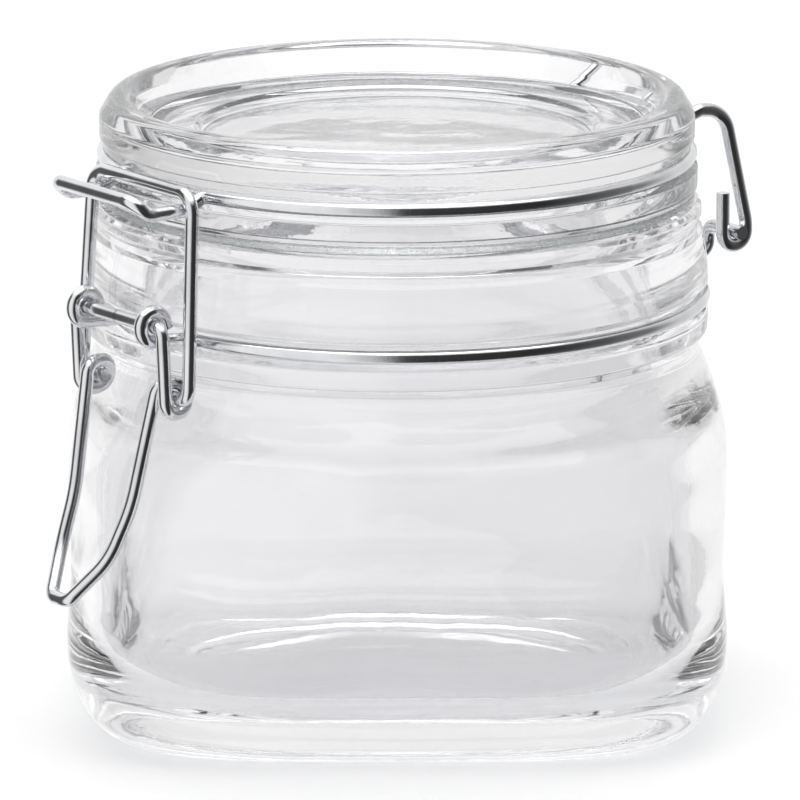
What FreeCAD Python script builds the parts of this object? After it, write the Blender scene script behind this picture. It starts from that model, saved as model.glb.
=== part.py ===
import FreeCAD, Part
import math
import os
import Sketcher
from FreeCAD import Placement, Rotation, Vector

# Clip-top glass storage jar: a square-bodied jar with a round neck, a glass lid on a soft ring, and a
# bent-wire clamp. Millimetres, +Z up, origin in the middle of the base where the jar stands.
# The latch is at -Y, the hinge at +Y, and both turn about axes along X.

SIZES = {
    # jar body: half width and corner radius of its rounded-square section at each height
    "base_half": 47.0, "base_corner": 24.0,
    "heel_up": 6.0, "heel_half": 52.3, "heel_corner": 25.5,
    "belly_up": 14.0, "belly_half": 54.2, "belly_corner": 27.5,
    "waist_up": 24.0, "waist_half": 53.6, "waist_corner": 32.0,
    "chest_up": 36.0, "chest_half": 54.2, "chest_corner": 42.0,
    "brow_up": 46.0, "brow_half": 54.1, "brow_corner": 48.3,
    "slope_up": 53.5, "slope_half": 52.0, "slope_corner": 51.0,
    "neck_up": 60.0, "neck_half": 49.4, "neck_corner": 49.2,
    # cavity sections, the same way
    "floor_up": 7.5, "floor_half": 40.0, "floor_corner": 20.0,
    "well_up": 11.0, "well_half": 46.8, "well_corner": 22.0,
    "inner_up": 17.0, "inner_half": 49.4, "inner_corner": 24.0,
    "middle_up": 34.0, "middle_half": 49.4, "middle_corner": 36.0,
    "upper_up": 46.0, "upper_half": 49.0, "upper_corner": 43.5,
    "throat_up": 57.5, "throat_half": 43.1, "throat_corner": 42.9,
    "punt_rad": 36.0, "punt_up": 2.2,
    # neck, turned
    "bore_rad": 43.0, "groove_rad": 48.8, "bead_rad": 51.3, "collar_rad": 50.1, "rim_top": 84.3,
    # lid and soft ring, turned
    "flange_rad": 49.4, "flange_low": 86.2, "lid_groove_rad": 46.6, "lid_rad": 48.9,
    "lid_top": 101.8, "crest_rad": 45.5, "dish_rad": 39.6, "dish_up": 95.8, "plug_rad": 42.0,
    "plug_low": 82.0, "ring_in": 42.3, "ring_out": 48.6,
    # clamp wire; "out" is the distance from the jar's axis, towards the latch or towards the hinge
    "wire_dia": 2.3, "eye_rad": 2.4, "hoop_rad": 50.35, "hoop_up": 68.4, "eye_side": 9.6,
    "pivot_out": 55.6, "pivot_up": 71.3, "lid_hoop_rad": 48.1, "lid_hoop_up": 92.0,
    "nose_side": 11.3, "nose_out": 60.4, "nose_up": 92.5, "nose_low": 90.1, "nose_bend": 3.0,
    "nose_root": 3.6, "hinge_out": 60.9, "hinge_up": 72.9, "shank_side": 4.5, "pin_side": 14.0,
    "arm_side": 11.7, "arm_root": 53.5, "arm_rise": 2.3, "arm_out": 58.6, "arm_up": 93.8,
    "hook_end": 6.8, "bail_side": 14.0, "bail_out": 50.8, "bail_up": 93.0, "foot_side": 15.1,
    "foot_out": 52.5, "foot_up": 59.4, "foot_pin": 1.2, "coil_rad": 2.4, "coil_step": 0.8,
    "crank_side": 12.2, "grip_side": 8.0, "grip_out": 58.9, "grip_up": 41.5,
    "knee_side": 6.8, "knee_out": 62.5, "knee_up": 33.0, "tip_side": 2.3, "tip_out": 67.6, "tip_up": 26.0,
    # how far the square body stands turned to the clamp
    "turn": 54.0,
}

doc = FreeCAD.newDocument("ClipTopJar")
sheet = doc.addObject("Spreadsheet::Sheet", "Sizes")
for row, (alias, value) in enumerate(SIZES.items(), start=1):
    sheet.set(f"A{row}", alias)
    sheet.set(f"B{row}", str(value))
    sheet.setAlias(f"B{row}", alias)
doc.recompute()


def size(alias):
    return float(sheet.get(alias))


# ---------------------------------------------------------------- PartDesign helpers

def new_body(label):
    body = doc.addObject("PartDesign::Body", label)
    body.Label = label
    return body


def new_sketch(body, name, role, rise=None):
    """A sketch on one of the body's own origin planes, lifted by a cell of the sheet."""
    sketch = body.newObject("Sketcher::SketchObject", name)
    plane = next(f for f in body.Origin.OriginFeatures if f.Role == role)
    sketch.AttachmentSupport = [(plane, "")]
    sketch.MapMode = "FlatFace"
    if rise:
        sketch.setExpression("AttachmentOffset.Base.z", f"Sizes.{rise}")
    return sketch


def bind(sketch, constraint, name, expression):
    index = sketch.addConstraint(constraint)
    sketch.renameConstraint(index, name)
    sketch.setExpression(f"Constraints.{name}", expression)


def rounded_square(body, level):
    """Closed square section with round corners, sized by the level's half width and corner radius."""
    half, corner = size(f"{level}_half"), size(f"{level}_corner")
    rise = f"{level}_up" if f"{level}_up" in SIZES else None
    sketch = new_sketch(body, f"{level}_section", "XY_Plane", rise)
    inner = half - corner
    signs = [(1, 1), (-1, 1), (-1, -1), (1, -1)]
    for k, (sx, sy) in enumerate(signs):
        circle = Part.Circle(Vector(sx * inner, sy * inner, 0), Vector(0, 0, 1), corner)
        sketch.addGeometry(Part.ArcOfCircle(circle, k * math.pi / 2, (k + 1) * math.pi / 2), False)
    for k, (sx, sy) in enumerate(signs):
        turn = k * math.pi / 2 + math.pi / 2
        step = Vector(math.cos(turn), math.sin(turn), 0) * corner
        start = Vector(sx * inner, sy * inner, 0) + step
        nx, ny = signs[(k + 1) % 4]
        sketch.addGeometry(Part.LineSegment(start, Vector(nx * inner, ny * inner, 0) + step), False)
    for k in range(4):
        sketch.addConstraint(Sketcher.Constraint("Tangent", k, 2, k + 4, 1))
        sketch.addConstraint(Sketcher.Constraint("Tangent", k + 4, 2, (k + 1) % 4, 1))
        sketch.addConstraint(Sketcher.Constraint("Horizontal" if k % 2 == 0 else "Vertical", k + 4))
    for k in range(1, 4):
        sketch.addConstraint(Sketcher.Constraint("Equal", 0, k))
    sketch.addConstraint(Sketcher.Constraint("Symmetric", 0, 3, 2, 3, -1, 1))
    bind(sketch, Sketcher.Constraint("DistanceX", -1, 1, 7, 1, half), "across", f"Sizes.{level}_half")
    bind(sketch, Sketcher.Constraint("DistanceY", -1, 1, 4, 1, half), "along", f"Sizes.{level}_half")
    bind(sketch, Sketcher.Constraint("Radius", 0, corner), "corner", f"Sizes.{level}_corner")
    return sketch


def profile(body, name, points):
    """Closed half profile for turning: each point is (radius cell, offset, height cell, offset).
    A radius cell of None puts the point on the axis; a height cell of None puts it on the floor."""
    sketch = new_sketch(body, name, "XZ_Plane")
    spots = [Vector((size(r) if r else 0) + dr, (size(u) if u else 0) + du, 0) for r, dr, u, du in points]
    for k, spot in enumerate(spots):
        sketch.addGeometry(Part.LineSegment(spot, spots[(k + 1) % len(spots)]), False)
    for k, (r, dr, u, du) in enumerate(points):
        sketch.addConstraint(Sketcher.Constraint("Coincident", k, 2, (k + 1) % len(spots), 1))
        if r:
            bind(sketch, Sketcher.Constraint("DistanceX", -1, 1, k, 1, spots[k].x),
                 f"rad{k}", f"Sizes.{r} + {dr}")
        else:
            sketch.addConstraint(Sketcher.Constraint("PointOnObject", k, 1, -2))
        if u:
            bind(sketch, Sketcher.Constraint("DistanceY", -1, 1, k, 1, spots[k].y),
                 f"up{k}", f"Sizes.{u} + {du}")
        else:
            sketch.addConstraint(Sketcher.Constraint("PointOnObject", k, 1, -1))
    return sketch


def turned(body, kind, name, points):
    """Revolution or Groove of a half profile about the body's Z axis."""
    sketch = profile(body, f"{name}_profile", points)
    feature = body.newObject(f"PartDesign::{kind}", name)
    feature.Profile = sketch
    feature.ReferenceAxis = (sketch, ["V_Axis"])
    feature.Angle = 360
    doc.recompute()
    return feature


def loft(body, kind, name, levels):
    sections = [rounded_square(body, level) for level in levels]
    feature = body.newObject(f"PartDesign::{kind}", name)
    feature.Profile = sections[0]
    feature.Sections = sections[1:]
    feature.Ruled = False
    doc.recompute()
    return feature


# ---------------------------------------------------------------- bent-wire helpers

def bent_path(corners, radii):
    """Straight runs joined by tangent arcs: one bend radius for each inner corner."""
    here, edges = corners[0], []
    for k in range(1, len(corners) - 1):
        corner = corners[k]
        back = (corners[k - 1] - corner).normalize()
        on = (corners[k + 1] - corner).normalize()
        inside = math.acos(max(-1.0, min(1.0, back.dot(on))))
        reach = radii[k - 1] / math.tan(inside / 2)
        bisector = (back + on).normalize()
        middle = corner + bisector * (radii[k - 1] / math.sin(inside / 2) - radii[k - 1])
        enter, leave = corner + back * reach, corner + on * reach
        if (enter - here).Length > 1e-4:
            edges.append(Part.LineSegment(here, enter).toShape())
        else:
            enter = here
        edges.append(Part.Arc(enter, middle, leave).toShape())
        here = leave
    if (corners[-1] - here).Length > 1e-4:
        edges.append(Part.LineSegment(here, corners[-1]).toShape())
    return Part.Wire(edges)


def bent_wire(name, corners, radii):
    """Round wire swept along a bent path, its thickness bound to the sheet."""
    path = doc.addObject("Part::Feature", f"{name}_path")
    path.Shape = bent_path(corners, radii)
    start, onward = corners[0], corners[1] - corners[0]
    ring = doc.addObject("Part::Circle", f"{name}_section")
    ring.setExpression("Radius", "Sizes.wire_dia / 2")
    ring.Placement = Placement(start, Rotation(Vector(0, 0, 1), onward))
    sweep = doc.addObject("Part::Sweep", name)
    sweep.Sections = [ring]
    sweep.Spine = (path, [f"Edge{k + 1}" for k in range(len(path.Shape.Edges))])
    sweep.Solid = True
    sweep.Frenet = True
    sweep.Transition = "Transformed"
    sweep.Label = name
    doc.recompute()
    drawn = path.Shape.Length * math.pi * (size("wire_dia") / 2) ** 2
    print(f"{name}: path {path.Shape.Length:.1f} mm, volume {sweep.Shape.Volume:.1f}, drawn {drawn:.1f}")
    return sweep


def at(side, out, up):
    """A point of the clamp: distance to the side, distance out towards the latch, height."""
    return Vector(side, -out, up)


def mirrored(corners, radii):
    """The whole path of a symmetrical wire from its right half, which ends before the middle."""
    other = [Vector(-c.x, c.y, c.z) for c in reversed(corners)]
    return corners + other, radii + list(reversed(radii))


def hoop_corners(radius, height, first, last, steps):
    """Corners of a polygon around a circle, between two directions given in degrees from the latch
    towards +X. Bends of the circle's own radius at these corners make the circle."""
    step = (last - first) / steps
    around = [math.radians(first + step * (k + 0.5)) for k in range(steps)]
    reach = radius / math.cos(math.radians(step / 2))
    return [at(reach * math.sin(a), reach * math.cos(a), height) for a in around]


# ---------------------------------------------------------------- glass jar

jar = new_body("glass_jar")
loft(jar, "AdditiveLoft", "outer",
     ["base", "heel", "belly", "waist", "chest", "brow", "slope", "neck"])
turned(jar, "Revolution", "neck", [
    (None, 0, "neck_up", -4.0), ("neck_half", -1.0, "neck_up", -4.0), ("neck_half", 0, "neck_up", 0),
    ("neck_half", 0.4, "neck_up", 1.2), ("bead_rad", -0.2, "neck_up", 2.8), ("bead_rad", 0, "hoop_up", -3.4),
    ("bead_rad", -0.4, "hoop_up", -2.4), ("groove_rad", 0, "hoop_up", -1.5), ("groove_rad", 0, "hoop_up", 1.5),
    ("bead_rad", -0.4, "hoop_up", 2.5), ("bead_rad", 0, "hoop_up", 3.4), ("bead_rad", -0.2, "hoop_up", 5.2),
    ("collar_rad", 0.2, "rim_top", -5.0), ("collar_rad", -0.5, "rim_top", -4.2),
    ("collar_rad", -0.5, "rim_top", -3.0), ("collar_rad", 0, "rim_top", -2.2),
    ("collar_rad", -0.2, "rim_top", -0.9), ("collar_rad", -1.0, "rim_top", 0), (None, 0, "rim_top", 0)])
filled = jar.Shape.Volume
loft(jar, "SubtractiveLoft", "cavity", ["floor", "well", "inner", "middle", "upper", "throat"])
turned(jar, "Groove", "mouth", [
    (None, 0, "throat_up", -2.0), ("bore_rad", 0, "throat_up", -2.0), ("bore_rad", 0, "rim_top", -1.0),
    ("bore_rad", 0.9, "rim_top", 0), ("bore_rad", 0.9, "rim_top", 1.0), (None, 0, "rim_top", 1.0)])
turned(jar, "Groove", "punt", [
    (None, 0, None, -1.0), ("punt_rad", 0, None, -1.0), ("punt_rad", 0, None, 0),
    ("punt_rad", -14.0, "punt_up", -0.6), (None, 0, "punt_up", 0)])
assert jar.Shape.Volume < 0.45 * filled, "the cavity was not cut"
jar.setExpression("Placement.Rotation.Angle", "Sizes.turn")

# ---------------------------------------------------------------- glass lid and soft ring

lid = new_body("glass_lid")
turned(lid, "Revolution", "disc", [
    (None, 0, "dish_up", -5.2), ("dish_rad", -6.0, "dish_up", -5.2), ("plug_rad", -5.6, "plug_low", 1.2),
    ("plug_rad", -4.8, "plug_low", 0), ("plug_rad", -1.5, "plug_low", 0), ("plug_rad", -1.1, "plug_low", 0.6),
    ("plug_rad", 0, "flange_low", 0), ("flange_rad", -0.4, "flange_low", 0), ("flange_rad", 0, "flange_low", 0.5),
    ("flange_rad", 0, "flange_low", 3.8), ("flange_rad", -0.5, "lid_hoop_up", -1.4),
    ("lid_groove_rad", 0, "lid_hoop_up", -0.9), ("lid_groove_rad", 0, "lid_hoop_up", 0.9),
    ("lid_rad", -0.5, "lid_hoop_up", 1.7), ("lid_rad", 0, "lid_top", -6.5), ("lid_rad", 0, "lid_top", -3.6),
    ("crest_rad", 1.9, "lid_top", -1.0), ("crest_rad", 0, "lid_top", 0), ("crest_rad", -2.1, "lid_top", -1.0),
    ("dish_rad", 0.6, "dish_up", 1.4), ("dish_rad", -1.0, "dish_up", 0.6), ("dish_rad", -6.6, "dish_up", 0.6),
    ("dish_rad", -7.2, "dish_up", 0), (None, 0, "dish_up", 0)])

ring = new_body("sealing_ring")
turned(ring, "Revolution", "washer", [
    ("ring_in", 0, "flange_low", 0), ("ring_out", 0, "flange_low", 0), ("ring_out", 0.3, "flange_low", -0.5),
    ("ring_out", 0.3, "flange_low", -1.1), ("ring_out", 0, "flange_low", -1.6),
    ("ring_in", 0, "flange_low", -1.6)])

# ---------------------------------------------------------------- neck hoop

eye, side, pivot, pivot_up = size("eye_rad"), size("eye_side"), size("pivot_out"), size("pivot_up")
hoop, level = size("hoop_rad"), size("hoop_up")
leave = math.degrees(math.asin(side / hoop))
curl = math.radians(70)  # how far the eye's end turns down past its top
tangent = eye * math.tan(curl / 2)
end_dir = at(0, -math.cos(curl), -math.sin(curl))
# the wire ends in an eye on the right, runs out of it along the neck, and mirrors on the left
top = at(side, pivot - tangent, pivot_up + eye)
right = [top + end_dir * (tangent + 1.3), top, at(side, pivot + eye, pivot_up + eye),
         at(side, pivot + eye, pivot_up - eye), at(side, hoop * math.cos(math.radians(leave)) - 0.25, level)]
around = hoop_corners(hoop, level, leave + 3, 180, 6)
corners, radii = mirrored(right + around, [eye, eye, eye, 1.8] + [hoop * 0.975] * 6)
band = bent_wire("neck_band", corners, radii)

# two shanks stand out from the band at the back and turn sideways into the hinge pins
hinge, hinge_up = size("hinge_out"), size("hinge_up")
shank, pin = size("shank_side"), size("pin_side")
shanks = []
for hand, sign in (("right", 1), ("left", -1)):
    x = sign * shank
    climb = [at(x, -hoop + 0.6, level), at(x, -hinge, level - 0.3),
             at(x, -hinge, hinge_up), at(sign * pin, -hinge, hinge_up)]
    shanks.append(bent_wire(f"hinge_pin_{hand}", climb, [2.0, 2.0]))
neck_hoop = doc.addObject("Part::MultiFuse", "neck_hoop")
neck_hoop.Shapes = [band] + shanks
neck_hoop.Label = "neck_hoop"

# ---------------------------------------------------------------- lid hoop: nose, band and hinge arms

nose, nose_side, arm = size("nose_out"), size("nose_side"), size("arm_side")
lid_hoop, lid_up, low = size("lid_hoop_rad"), size("lid_hoop_up"), size("nose_low")
front = math.degrees(math.asin(nose_side / lid_hoop))
back = 180 - math.degrees(math.asin(arm / lid_hoop))
root = lid_hoop * math.cos(math.radians(front))
tail = lid_hoop * math.cos(math.radians(back))
half = [at(nose_side, nose, size("nose_up")), at(nose_side, nose - size("nose_bend"), low),
        at(nose_side, root + size("nose_root"), low), at(nose_side, root, lid_up)]
half += hoop_corners(lid_hoop, lid_up, front + 2, back - 2, 5)
half += [at(arm, tail, lid_up), at(arm, -size("arm_root"), lid_up + size("arm_rise")),
         at(arm, -size("arm_out"), size("arm_up"))]
# each arm ends in a hook that runs under the hinge pin and up on its near side
half += [at(arm, -hinge - eye, hinge_up + 1.5), at(arm, -hinge - eye, hinge_up - eye),
         at(arm, -hinge + eye, hinge_up - eye), at(arm, -hinge + eye, hinge_up + size("hook_end"))]
bends = [2.4, 3.0, 2.2, 1.5] + [lid_hoop * 0.98] * 5 + [2.0, 2.0, 5.0, 8.0, eye, eye]
corners = list(reversed(half)) + [Vector(-c.x, c.y, c.z) for c in half]
lid_wire = bent_wire("lid_hoop", corners, list(reversed(bends)) + bends)

# ---------------------------------------------------------------- bail

foot, foot_up = size("foot_out"), size("foot_up")
half = [at(side - size("foot_pin"), foot, foot_up), at(size("foot_side"), foot, foot_up),
        at(size("bail_side"), size("bail_out"), size("bail_up"))]
corners, radii = mirrored(half, [2.2, 3.4])
bail = bent_wire("bail", corners, radii)

# ---------------------------------------------------------------- lever

crank, coil, step = size("crank_side"), size("coil_rad"), size("coil_step")
# the wire's two ends meet in the middle of the axle, with a hair's gap
half = [at(0.1, pivot, pivot_up), at(crank, pivot, pivot_up), at(crank, foot + coil, foot_up - coil),
        at(crank - step, foot - coil, foot_up - coil), at(crank - 2 * step, foot - coil, foot_up + coil),
        at(crank - 3 * step, foot + coil, foot_up + coil)]
half += [at(size(f"{spot}_side"), size(f"{spot}_out"), size(f"{spot}_up")) for spot in ("grip", "knee", "tip")]
corners, radii = mirrored(half, [1.7] + [coil - 0.05] * 4 + [30.0, 14.0, 2.2])
lever = bent_wire("lever", corners, radii)

# ---------------------------------------------------------------- check and write

doc.recompute()
parts = {"glass_jar": jar, "glass_lid": lid, "sealing_ring": ring, "neck_hoop": neck_hoop,
         "lid_hoop": lid_wire, "bail": bail, "lever": lever}
for thing in doc.Objects:
    assert not {"Invalid", "Error"} & set(thing.State), f"{thing.Label}: {thing.State}"
os.makedirs("parts", exist_ok=True)
for node, thing in parts.items():
    shape = thing.Shape
    assert not shape.isNull() and shape.isValid(), node
    assert len(shape.Solids) == 1, f"{node} is {len(shape.Solids)} solids"
    box = shape.BoundBox
    print(f"{node}: {shape.Volume:.0f} mm3, x {box.XMin:.1f}..{box.XMax:.1f}, "
          f"y {box.YMin:.1f}..{box.YMax:.1f}, z {box.ZMin:.1f}..{box.ZMax:.1f}")
    shape.exportStep(f"parts/{node}.step")
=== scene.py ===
import math

import bmesh
import bpy
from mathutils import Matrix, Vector, noise


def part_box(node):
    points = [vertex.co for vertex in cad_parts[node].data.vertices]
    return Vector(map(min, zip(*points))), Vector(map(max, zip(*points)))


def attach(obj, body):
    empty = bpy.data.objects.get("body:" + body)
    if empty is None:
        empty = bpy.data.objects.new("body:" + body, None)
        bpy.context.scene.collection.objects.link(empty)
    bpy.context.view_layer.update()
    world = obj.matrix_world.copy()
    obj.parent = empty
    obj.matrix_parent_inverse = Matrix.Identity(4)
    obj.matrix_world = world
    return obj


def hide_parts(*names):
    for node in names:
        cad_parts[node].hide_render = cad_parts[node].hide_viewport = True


# Clip-top glass storage jar. The clamp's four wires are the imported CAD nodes, plated here.
# The jar, the lid and the soft ring are built here as smooth skins around the same sizes.

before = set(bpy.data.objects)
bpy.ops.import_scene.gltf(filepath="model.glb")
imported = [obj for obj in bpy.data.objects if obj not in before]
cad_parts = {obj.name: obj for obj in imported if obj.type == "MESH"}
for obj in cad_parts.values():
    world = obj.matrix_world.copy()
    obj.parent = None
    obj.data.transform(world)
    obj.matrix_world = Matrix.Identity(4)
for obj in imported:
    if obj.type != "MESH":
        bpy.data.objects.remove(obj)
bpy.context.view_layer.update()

MM = 0.001
AROUND = 256  # vertices round each ring of a skin
NO_WIDTH = 1e-3  # a narrower ring is a point
NEARLY_STRAIGHT = math.radians(179)
RUN_SHARE = 0.49  # the most of a straight run that a bend at one end of it takes up
SAME_SPOT = 1e-5
BODY_TURN = math.radians(54)  # the square body stands turned to the clamp
VIEW_TURN = BODY_TURN  # and is seen square on
WHITE = (1, 1, 1, 1)
rim_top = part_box("glass_jar")[1].z / MM
lid_lo, lid_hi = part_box("glass_lid")
lid_top, plug_low = lid_hi.z / MM, lid_lo.z / MM
ring_lo, ring_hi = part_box("sealing_ring")
ring_low, ring_high, ring_out = ring_lo.z / MM, ring_hi.z / MM, ring_hi.x / MM


# ---------------------------------------------------------------- profiles, in millimetres

def rounded(corners, steps=7):
    """Points of an outline: each corner is (radius, height, bend), and its bend is an arc."""
    spots = [Vector((r, up)) for r, up, bend in corners]
    points = [spots[0]]
    for k in range(1, len(spots) - 1):
        back, on = spots[k - 1] - spots[k], spots[k + 1] - spots[k]
        inside = back.angle(on)
        bend = corners[k][2]
        if bend <= 0 or inside > NEARLY_STRAIGHT:
            points.append(spots[k])
            continue
        reach = min(bend / math.tan(inside / 2), RUN_SHARE * back.length, RUN_SHARE * on.length)
        bend = reach * math.tan(inside / 2)
        inward = (back.normalized() + on.normalized()).normalized()
        middle = spots[k] + inward * (bend / math.sin(inside / 2))
        enter = spots[k] + back.normalized() * reach - middle
        sweep = math.pi - inside
        side = 1 if back.x * on.y - back.y * on.x < 0 else -1
        for step in range(steps + 1):
            turn = side * sweep * step / steps
            spin = Vector((enter.x * math.cos(turn) - enter.y * math.sin(turn),
                           enter.x * math.sin(turn) + enter.y * math.cos(turn)))
            points.append(middle + spin)
    points.append(spots[-1])
    return points


def filled(points, longest):
    """The same outline with long straight stretches divided, so that its faces stay even."""
    out = [points[0]]
    for here, there in zip(points, points[1:]):
        parts = max(1, math.ceil((there - here).length / longest))
        out += [here.lerp(there, k / parts) for k in range(1, parts + 1)]
    return [p for k, p in enumerate(out) if k == 0 or (p - out[k - 1]).length > SAME_SPOT]


def flowing(stations, steps):
    """A smooth curve through stations of any number of values (centripetal Catmull-Rom)."""
    spots = [Vector(s) for s in stations]
    knots = [2 * spots[0] - spots[1]] + spots + [2 * spots[-1] - spots[-2]]
    out = []
    for a, b, c, d in zip(knots, knots[1:], knots[2:], knots[3:]):
        ta = 0.0
        tb = ta + (b - a).length ** 0.5
        tc = tb + (c - b).length ** 0.5
        td = tc + (d - c).length ** 0.5
        for k in range(steps):
            now = tb + (tc - tb) * k / steps
            ab = a.lerp(b, (now - ta) / (tb - ta))
            bc = b.lerp(c, (now - tb) / (tc - tb))
            cd = c.lerp(d, (now - tc) / (td - tc))
            abc = ab.lerp(bc, (now - ta) / (tc - ta))
            bcd = bc.lerp(cd, (now - tb) / (td - tb))
            out.append(abc.lerp(bcd, (now - tb) / (tc - tb)))
    return out + [spots[-1]]


def round_rings(outline):
    """The rings of a round piece, from its outline of (radius, height)."""
    return [Vector((p.x, p.x, p.y)) for p in outline]


# ---------------------------------------------------------------- mesh helpers

def soft_square(half, reach, angle):
    """Distance from the axis to a soft square, half at its flats and reach at its corners.
    It is a superellipse, and a round one where reach is half."""
    power = 1 / (0.5 - math.log2(max(reach, half) / half))
    return half * (abs(math.cos(angle)) ** power + abs(math.sin(angle)) ** power) ** (-1 / power)


def skin(name, rings, ripple=None, turn=0.0, joined=False):
    """Quads between rings of (half, reach, up) in millimetres. Rings of no width close the
    ends in a point, and a joined skin runs back into its first ring. ripple(point, k) says
    how far ring k's points move out."""
    shape = bmesh.new()
    rows = []
    for k, (half, reach, up) in enumerate(rings):
        if half < NO_WIDTH:
            rows.append([shape.verts.new((0, 0, up * MM))])
            continue
        row = []
        for step in range(AROUND):
            angle = math.tau * step / AROUND
            out = soft_square(half, reach, angle)
            spot = Vector((out * math.cos(angle + turn), out * math.sin(angle + turn), up))
            if ripple:
                spot += Vector((spot.x, spot.y, 0)).normalized() * ripple(spot, k)
            row.append(shape.verts.new(spot * MM))
        rows.append(row)
    pairs = list(zip(rows, rows[1:])) + ([(rows[-1], rows[0])] if joined else [])
    for low, high in pairs:
        for step in range(AROUND):
            on = (step + 1) % AROUND
            if len(low) == 1:
                shape.faces.new((low[0], high[on], high[step]))
            elif len(high) == 1:
                shape.faces.new((low[step], low[on], high[0]))
            else:
                shape.faces.new((low[step], low[on], high[on], high[step]))
    bmesh.ops.recalc_face_normals(shape, faces=shape.faces)
    mesh = bpy.data.meshes.new(name)
    shape.to_mesh(mesh)
    shape.free()
    for face in mesh.polygons:
        face.use_smooth = True
    piece = bpy.data.objects.new(name, mesh)
    bpy.context.scene.collection.objects.link(piece)
    return piece


def stand_for(piece, node, body, material):
    """The piece replaces a CAD node, on its body and with its finish."""
    piece.data.materials.append(material)
    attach(piece, body)
    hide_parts(node)


# ---------------------------------------------------------------- materials

def new_material(name):
    material = bpy.data.materials.new(name)
    material.use_nodes = True
    nodes = material.node_tree.nodes
    nodes.clear()
    output = nodes.new("ShaderNodeOutputMaterial")
    shader = nodes.new("ShaderNodeBsdfPrincipled")
    return material, nodes, material.node_tree.links, shader, output


def grain(nodes, links, scale, detail=3.0):
    """Noise over the object's own coordinates."""
    coordinates = nodes.new("ShaderNodeTexCoord")
    texture = nodes.new("ShaderNodeTexNoise")
    texture.inputs["Scale"].default_value = scale
    texture.inputs["Detail"].default_value = detail
    links.new(coordinates.outputs["Object"], texture.inputs["Vector"])
    return texture.outputs[0]


def ranged(nodes, links, value, low, high):
    """A value between 0 and 1 spread from low to high."""
    spread = nodes.new("ShaderNodeMapRange")
    spread.inputs["To Min"].default_value = low
    spread.inputs["To Max"].default_value = high
    links.new(value, spread.inputs["Value"])
    return spread.outputs["Result"]


def bumped(nodes, links, shader, height, distance, strength, under=None):
    """Raises the shader's surface by height, on top of the bump given as under."""
    bump = nodes.new("ShaderNodeBump")
    bump.inputs["Distance"].default_value = distance
    bump.inputs["Strength"].default_value = strength
    links.new(height, bump.inputs["Height"])
    if under:
        links.new(under, bump.inputs["Normal"])
    links.new(bump.outputs["Normal"], shader.inputs["Normal"])
    return bump.outputs["Normal"]


def see_through(nodes, links, shader, output, share, colour):
    """Gives the output the shader, and by share plain transparency of a colour instead."""
    clear = nodes.new("ShaderNodeBsdfTransparent")
    clear.inputs["Color"].default_value = colour
    mix = nodes.new("ShaderNodeMixShader")
    links.new(share, mix.inputs["Fac"])
    links.new(shader.outputs["BSDF"], mix.inputs[1])
    links.new(clear.outputs["BSDF"], mix.inputs[2])
    links.new(mix.outputs["Shader"], output.inputs["Surface"])


def glass_material():
    """Pressed soda-lime glass: clear, a little wavy, lightly smeared. Lamps shine through it."""
    material, nodes, links, shader, output = new_material("pressed_glass")
    shader.inputs["Base Color"].default_value = (0.865, 0.862, 0.872, 1)
    shader.inputs["IOR"].default_value = 1.5
    shader.inputs["Transmission Weight"].default_value = 1.0
    smears = ranged(nodes, links, grain(nodes, links, scale=55), low=0.0, high=0.06)
    links.new(smears, shader.inputs["Roughness"])
    waves = grain(nodes, links, scale=70, detail=1.0)
    waved = bumped(nodes, links, shader, waves, distance=0.0004, strength=0.35)
    fine = grain(nodes, links, scale=420, detail=2.0)
    bumped(nodes, links, shader, fine, distance=0.00003, strength=0.3, under=waved)
    shadow = nodes.new("ShaderNodeLightPath").outputs["Is Shadow Ray"]
    see_through(nodes, links, shader, output, share=shadow, colour=(0.93, 0.935, 0.94, 1))
    return material


def wire_material():
    """Bright plated spring wire: fine drawing marks, faint handling dullness."""
    material, nodes, links, shader, output = new_material("plated_wire")
    shader.inputs["Metallic"].default_value = 1.0
    dull = ranged(nodes, links, grain(nodes, links, scale=260, detail=5.0), low=0.07, high=0.24)
    links.new(dull, shader.inputs["Roughness"])
    tone = nodes.new("ShaderNodeValToRGB")
    duller, brighter = tone.color_ramp.elements
    duller.position, brighter.position = 0.35, 0.7
    duller.color, brighter.color = (0.66, 0.67, 0.69, 1), (0.84, 0.85, 0.86, 1)
    links.new(grain(nodes, links, scale=90, detail=4.0), tone.inputs["Fac"])
    links.new(tone.outputs["Color"], shader.inputs["Base Color"])
    drawn = grain(nodes, links, scale=1900, detail=2.0)
    bumped(nodes, links, shader, drawn, distance=0.00002, strength=0.4)
    links.new(shader.outputs["BSDF"], output.inputs["Surface"])
    return material


def seal_material():
    """Clear silicone: cloudy inside, satin outside."""
    material, nodes, links, shader, output = new_material("clear_silicone")
    shader.inputs["Base Color"].default_value = (0.93, 0.95, 0.95, 1)
    shader.inputs["IOR"].default_value = 1.41
    shader.inputs["Transmission Weight"].default_value = 0.85
    haze = grain(nodes, links, scale=300, detail=4.0)
    links.new(ranged(nodes, links, haze, low=0.18, high=0.36), shader.inputs["Roughness"])
    bumped(nodes, links, shader, haze, distance=0.00005, strength=0.4)
    links.new(shader.outputs["BSDF"], output.inputs["Surface"])
    return material


# ---------------------------------------------------------------- glass jar

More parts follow.
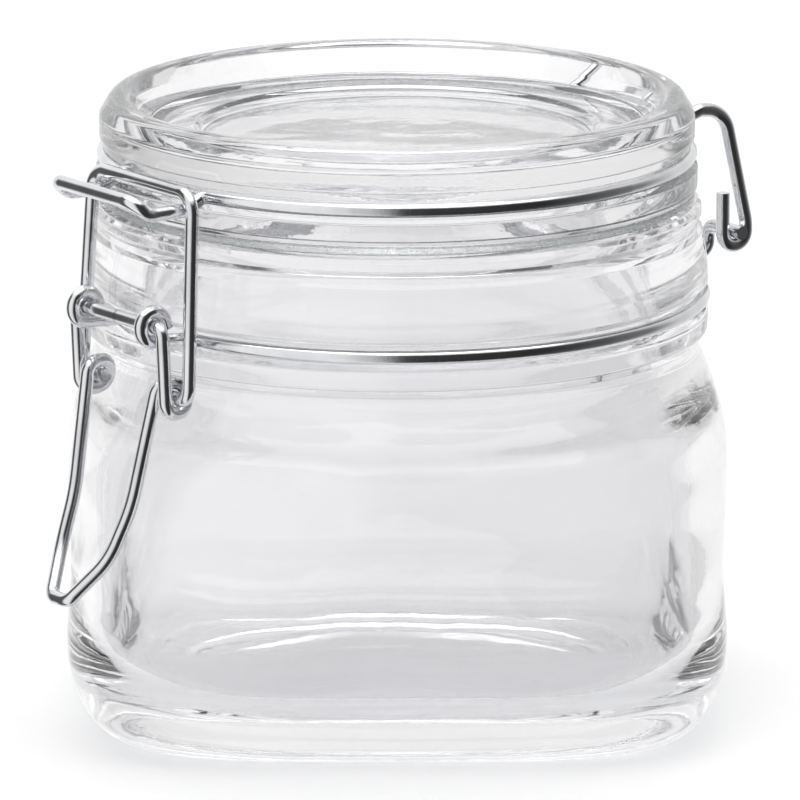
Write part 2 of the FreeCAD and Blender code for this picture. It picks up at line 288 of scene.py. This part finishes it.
# The body's stations are (half across its flats, reach at its corners, height).
UNDERSIDE = [(0.0, 0.0, 2.2), (12, 12, 2.05), (22, 22, 1.6), (31, 31.3, 0.8), (37, 39, 0.15),
             (41, 47, 0.0), (44.5, 53.2, 0.0)]
OUTSIDE = [(44.5, 53.2, 0.0), (47.8, 57.3, 0.9), (50.4, 60.9, 3.0), (52.5, 63.4, 6.4),
           (53.8, 64.9, 10.2), (54.2, 65.3, 14.5), (53.7, 62.6, 24.0), (54.2, 59.3, 36.0),
           (54.1, 56.6, 46.0), (52.1, 52.5, 53.5), (49.7, 49.7, 60.0)]
# The neck's corners are (radius, height, bend), as rounded() takes them.
NECK = [(49.7, 60.0, 0), (49.9, 61.5, 0.6), (51.1, 63.0, 1.0), (51.3, 66.0, 0.7), (48.9, 66.9, 0.5),
        (48.9, 69.9, 0.5), (51.3, 70.7, 0.7), (51.1, 73.8, 1.5), (50.2, 79.4, 0.5), (49.5, 80.2, 0.4),
        (49.5, 81.2, 0.4), (50.1, 82.2, 0.5), (50.0, 83.5, 0.5), (49.2, rim_top, 0.6),
        (43.9, rim_top, 0.8), (43.0, rim_top - 1.2, 0.8), (43.0, 59.0, 0)]
INSIDE = [(43.0, 43.0, 59.0), (43.2, 43.3, 57.0), (45.4, 46.0, 52.6), (48.6, 50.6, 47.0),
          (49.4, 52.9, 41.0), (49.4, 55.2, 33.0), (49.4, 58.2, 23.0), (49.3, 59.8, 16.5),
          (47.6, 57.6, 11.8), (43.0, 51.6, 8.6), (36.0, 41.0, 7.7), (24.0, 24.5, 8.0),
          (12.0, 12.0, 8.3), (0.0, 0.0, 8.4)]
OUTER_WAVE, OUTER_LENGTH = 0.05, 30.0
INNER_WAVE, INNER_LENGTH = 0.45, 24.0
FADE_RINGS = 12  # the inner wave grows from nothing over these


def build_jar(material):
    under, outer = flowing(UNDERSIDE, 5), flowing(OUTSIDE, 9)
    neck = round_rings(filled(rounded(NECK), 1.6))
    outward = under[:-1] + outer[:-1] + neck[:-1]

    def wave(spot, k):
        """Glass is even outside, where the mould was, and wavy inside, where air blew it."""
        if k < len(outward):
            return OUTER_WAVE * noise.noise(spot / OUTER_LENGTH)
        fade = min(1.0, (k - len(outward)) / FADE_RINGS)
        return fade * INNER_WAVE * noise.noise(spot / INNER_LENGTH)

    jar = skin("jar_glass", outward + flowing(INSIDE, 8), wave, BODY_TURN)
    stand_for(jar, "glass_jar", "jar_body", material)


# ---------------------------------------------------------------- glass lid and soft ring

# Corners are (radius, height, bend): the underside, the rim, then the dished top.
LID = [(0, 90.6, 0), (33.0, 90.6, 3.0), (36.6, 82.8, 1.0), (37.4, plug_low, 0.6), (40.4, plug_low, 0.6),
       (40.9, 83.0, 0.6), (41.9, 86.2, 0.4), (49.1, 86.2, 0.4), (49.4, 86.9, 0.5), (49.4, 89.9, 0.8),
       (48.4, 91.0, 0.5), (46.6, 91.2, 0.5), (46.6, 92.8, 0.5), (48.3, 93.3, 0.6), (48.9, 95.0, 1.5),
       (48.9, 98.4, 2.6), (46.9, lid_top, 2.6), (44.2, lid_top, 2.0), (40.2, 97.2, 1.6),
       (38.6, 96.4, 1.0), (33.2, 96.4, 0.7), (32.3, 95.8, 0.7), (0, 95.8, 0)]
LID_WAVE, LID_LENGTH = 0.07, 13.0
RING_WIDTH = 6.6
RING_BEND = 0.4
RING_INSET = 0.05  # the skin stays this far inside the ring's box


def build_lid(material):
    rings = round_rings(filled(rounded(LID), 2.0))
    lid = skin("lid_glass", rings, lambda spot, k: LID_WAVE * noise.noise(spot / LID_LENGTH))
    stand_for(lid, "glass_lid", "lid_body", material)


def build_seal(material):
    """A flat ring with a rounded outer lip."""
    inner, lip, outer = ring_out - RING_WIDTH, ring_out - 0.6, ring_out - RING_INSET
    start = (inner + 1.2, ring_high, 0)
    loop = [start, (lip, ring_high, RING_BEND), (outer, ring_high - 0.45, RING_BEND),
            (outer, ring_low + 0.4, RING_BEND), (lip, ring_low, RING_BEND),
            (inner, ring_low, RING_BEND), (inner, ring_high, RING_BEND), start]
    rings = round_rings(filled(rounded(loop), 1.5)[:-1])
    seal = skin("seal_ring", rings, joined=True)
    stand_for(seal, "sealing_ring", "lid_body", material)


# ---------------------------------------------------------------- studio

FLOOR_RADIUS = 1.5
FIRST_BOUNCE = 1.5  # ray depths below this are the first
OVERHEAD = (0.62, 0.78)  # the sky turns white between these heights of a direction
# How bright the studio is at each heading, in degrees: softboxes, with a black flag at -62 to -26
# and a dark gap from 56 to 134.
SOFTBOXES = [(-180, 0.75), (-120, 1.0), (-72, 1.0), (-62, 0.1), (-26, 0.1), (-14, 1.0),
             (28, 1.0), (46, 0.6), (56, 0.05), (112, 0.03), (134, 0.1), (160, 0.2), (180, 0.75)]


def worked(nodes, links, operation, first, second):
    """A Math node's result, from a socket and a socket or number."""
    node = nodes.new("ShaderNodeMath")
    node.operation = operation
    links.new(first, node.inputs[0])
    if isinstance(second, (int, float)):
        node.inputs[1].default_value = second
    else:
        links.new(second, node.inputs[1])
    return node.outputs["Value"]


def whitened(nodes, links, colour, share):
    """A colour turned white by share."""
    node = nodes.new("ShaderNodeMix")
    node.data_type = "RGBA"
    node.inputs["B"].default_value = WHITE
    links.new(share, node.inputs["Factor"])
    links.new(colour, node.inputs["A"])
    return node.outputs["Result"]


def build_floor():
    """A pale floor. The wires mirror the dark room beyond it, as if it ended close to them,
    because a first mirrored ray goes through it."""
    shape = bmesh.new()
    bmesh.ops.create_circle(shape, cap_ends=True, cap_tris=False, segments=128,
                            radius=FLOOR_RADIUS)
    mesh = bpy.data.meshes.new("floor")
    shape.to_mesh(mesh)
    shape.free()
    floor = bpy.data.objects.new("floor", mesh)
    bpy.context.scene.collection.objects.link(floor)
    material, nodes, links, shader, output = new_material("pale_floor")
    shader.inputs["Base Color"].default_value = (0.93, 0.93, 0.93, 1)
    shader.inputs["Roughness"].default_value = 0.7
    path = nodes.new("ShaderNodeLightPath").outputs
    first = worked(nodes, links, "LESS_THAN", path["Ray Depth"], FIRST_BOUNCE)
    mirrored = worked(nodes, links, "MULTIPLY", first, path["Is Glossy Ray"])
    see_through(nodes, links, shader, output, share=mirrored, colour=WHITE)
    mesh.materials.append(material)


def build_world():
    """Softboxes round the jar with two dark stretches between them, which draw the lines in
    glass and wire. It is white overhead, and plain white where it is seen directly."""
    world = bpy.data.worlds.new("studio")
    bpy.context.scene.world = world
    world.use_nodes = True
    nodes, links = world.node_tree.nodes, world.node_tree.links
    background = nodes["Background"]
    direction = nodes.new("ShaderNodeSeparateXYZ")
    links.new(nodes.new("ShaderNodeTexCoord").outputs["Generated"], direction.inputs["Vector"])
    x, y, z = direction.outputs
    back = worked(nodes, links, "MULTIPLY", y, -1)
    heading = worked(nodes, links, "ARCTAN2", x, back)
    turn = nodes.new("ShaderNodeMapRange")
    turn.inputs["From Min"].default_value = -math.pi
    turn.inputs["From Max"].default_value = math.pi
    links.new(heading, turn.inputs["Value"])
    around = nodes.new("ShaderNodeValToRGB")
    stops = around.color_ramp.elements
    while len(stops) < len(SOFTBOXES):
        stops.new(0.5)
    for stop, (degrees, light) in zip(stops, SOFTBOXES):
        stop.position = (degrees + 180) / 360
        stop.color = (light, light, light, 1)
    links.new(turn.outputs["Result"], around.inputs["Fac"])
    overhead = nodes.new("ShaderNodeMapRange")
    overhead.inputs["From Min"].default_value, overhead.inputs["From Max"].default_value = OVERHEAD
    links.new(z, overhead.inputs["Value"])
    sky = whitened(nodes, links, around.outputs["Color"], overhead.outputs["Result"])
    seen = nodes.new("ShaderNodeLightPath").outputs["Is Camera Ray"]
    links.new(whitened(nodes, links, sky, seen), background.inputs["Color"])
    background.inputs["Strength"].default_value = 1.0


def build_lamp(name, spot, aim, across, watts):
    """A rectangular lamp at spot that faces aim."""
    data = bpy.data.lights.new(name, "AREA")
    data.shape = "RECTANGLE"
    data.size, data.size_y = across
    data.energy = watts
    lamp = bpy.data.objects.new(name, data)
    lamp.location = spot
    lamp.rotation_mode = "QUATERNION"
    lamp.rotation_quaternion = (Vector(aim) - Vector(spot)).to_track_quat("-Z", "Y")
    bpy.context.scene.collection.objects.link(lamp)


def build_camera():
    """A long view from the side of the latch and a little above."""
    azimuth, elevation = VIEW_TURN, math.radians(12.8)
    distance, middle = 2.0, Vector((0, 0, 0.050))
    back = Vector((math.sin(azimuth) * math.cos(elevation),
                   -math.cos(azimuth) * math.cos(elevation), math.sin(elevation)))
    data = bpy.data.cameras.new("camera")
    data.lens, data.sensor_width = 546, 36
    data.shift_x = 0.00375
    camera = bpy.data.objects.new("camera", data)
    camera.location = middle + back * distance
    camera.rotation_mode = "QUATERNION"
    camera.rotation_quaternion = (-back).to_track_quat("-Z", "Y")
    bpy.context.scene.collection.objects.link(camera)
    bpy.context.scene.camera = camera


# ---------------------------------------------------------------- the scene

build_camera()
build_floor()
build_world()
build_lamp("overhead", spot=(0.0, 0.0, 1.6), aim=(0, 0, 0), across=(1.8, 1.8), watts=17)
bpy.context.scene.view_settings.view_transform = "Standard"
# light crosses many walls of glass, and mirrors many times inside them
cycles = bpy.context.scene.cycles
cycles.max_bounces = 48
cycles.transmission_bounces = 48
cycles.glossy_bounces = 20

glass = glass_material()
build_jar(glass)
build_lid(glass)
build_seal(seal_material())
wire = wire_material()
for node in ("neck_hoop", "lid_hoop", "bail", "lever"):
    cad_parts[node].material_slots[0].material = wire
